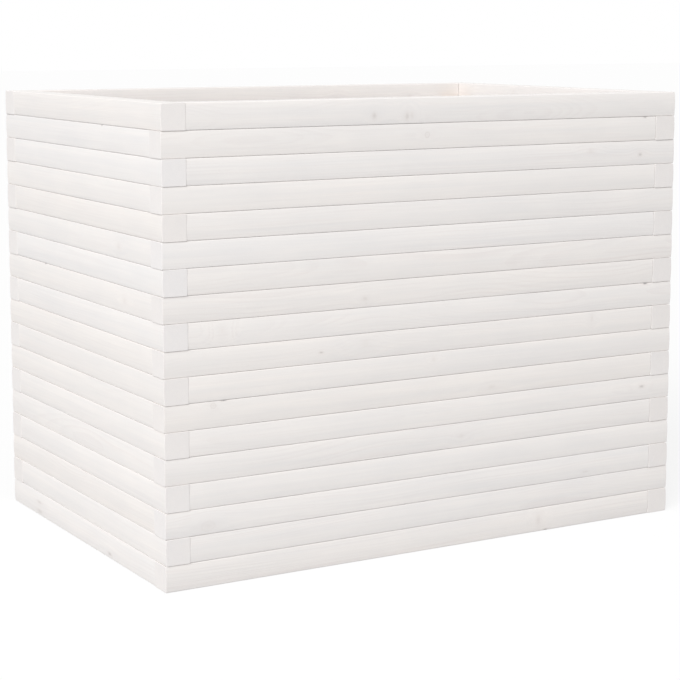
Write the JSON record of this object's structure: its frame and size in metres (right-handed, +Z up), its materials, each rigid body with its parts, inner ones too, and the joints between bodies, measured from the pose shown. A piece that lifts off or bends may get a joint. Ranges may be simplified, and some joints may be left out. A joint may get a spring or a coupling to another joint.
{
  "type": "planter box",
  "caption": "Tall open rectangular planter box of stacked square pine boards lapped at the corners, white stained, with inner corner posts and a slatted floor.",
  "frame": {"origin": "on the ground under the middle of the box", "axes": "+X along the long walls, to the right as seen from the front; +Y from the front wall to the back wall; +Z up"},
  "size_m": [0.9, 0.6, 0.684],
  "materials": {
    "board_pine": "planed pine under a thin white stain, matt to satin, grain and knots faintly showing",
    "post_pine": "planed pine under a thin white stain, matt",
    "bearer_pine": "planed pine under a thin white stain, matt",
    "slat_pine": "planed pine under a thin white stain, matt",
    "screw_steel": "zinc-plated screw heads, satin"
  },
  "bodies": {
    "root": {"front_boards_1_to_2": "board_pine", "front_boards_3_to_4": "board_pine", "front_boards_5_to_6": "board_pine", "front_boards_7_to_8": "board_pine", "front_boards_9_to_10": "board_pine", "front_boards_11_to_12": "board_pine", "front_boards_13_to_14": "board_pine", "front_boards_15_to_16": "board_pine", "front_boards_17_to_18": "board_pine", "right_boards_1_to_2": "board_pine", "right_boards_3_to_4": "board_pine", "right_boards_5_to_6": "board_pine", "right_boards_7_to_8": "board_pine", "right_boards_9_to_10": "board_pine", "right_boards_11_to_12": "board_pine", "right_boards_13_to_14": "board_pine", "right_boards_15_to_16": "board_pine", "right_boards_17_to_18": "board_pine", "back_boards_1_to_2": "board_pine", "back_boards_3_to_4": "board_pine", "back_boards_5_to_6": "board_pine", "back_boards_7_to_8": "board_pine", "back_boards_9_to_10": "board_pine", "back_boards_11_to_12": "board_pine", "back_boards_13_to_14": "board_pine", "back_boards_15_to_16": "board_pine", "back_boards_17_to_18": "board_pine", "left_boards_1_to_2": "board_pine", "left_boards_3_to_4": "board_pine", "left_boards_5_to_6": "board_pine", "left_boards_7_to_8": "board_pine", "left_boards_9_to_10": "board_pine", "left_boards_11_to_12": "board_pine", "left_boards_13_to_14": "board_pine", "left_boards_15_to_16": "board_pine", "left_boards_17_to_18": "board_pine", "corner_post_front_left": "post_pine", "corner_post_front_right": "post_pine", "corner_post_back_left": "post_pine", "corner_post_back_right": "post_pine", "long_bearer_front": "bearer_pine", "long_bearer_back": "bearer_pine", "end_bearer_left": "bearer_pine", "end_bearer_right": "bearer_pine", "middle_bearer": "bearer_pine", "floor_slat_1": "slat_pine", "floor_slat_2": "slat_pine", "floor_slat_3": "slat_pine", "floor_slat_4": "slat_pine", "floor_slat_5": "slat_pine", "floor_slat_6": "slat_pine", "floor_slat_7": "slat_pine", "floor_slat_8": "slat_pine"}
  },
  "joints": []
}
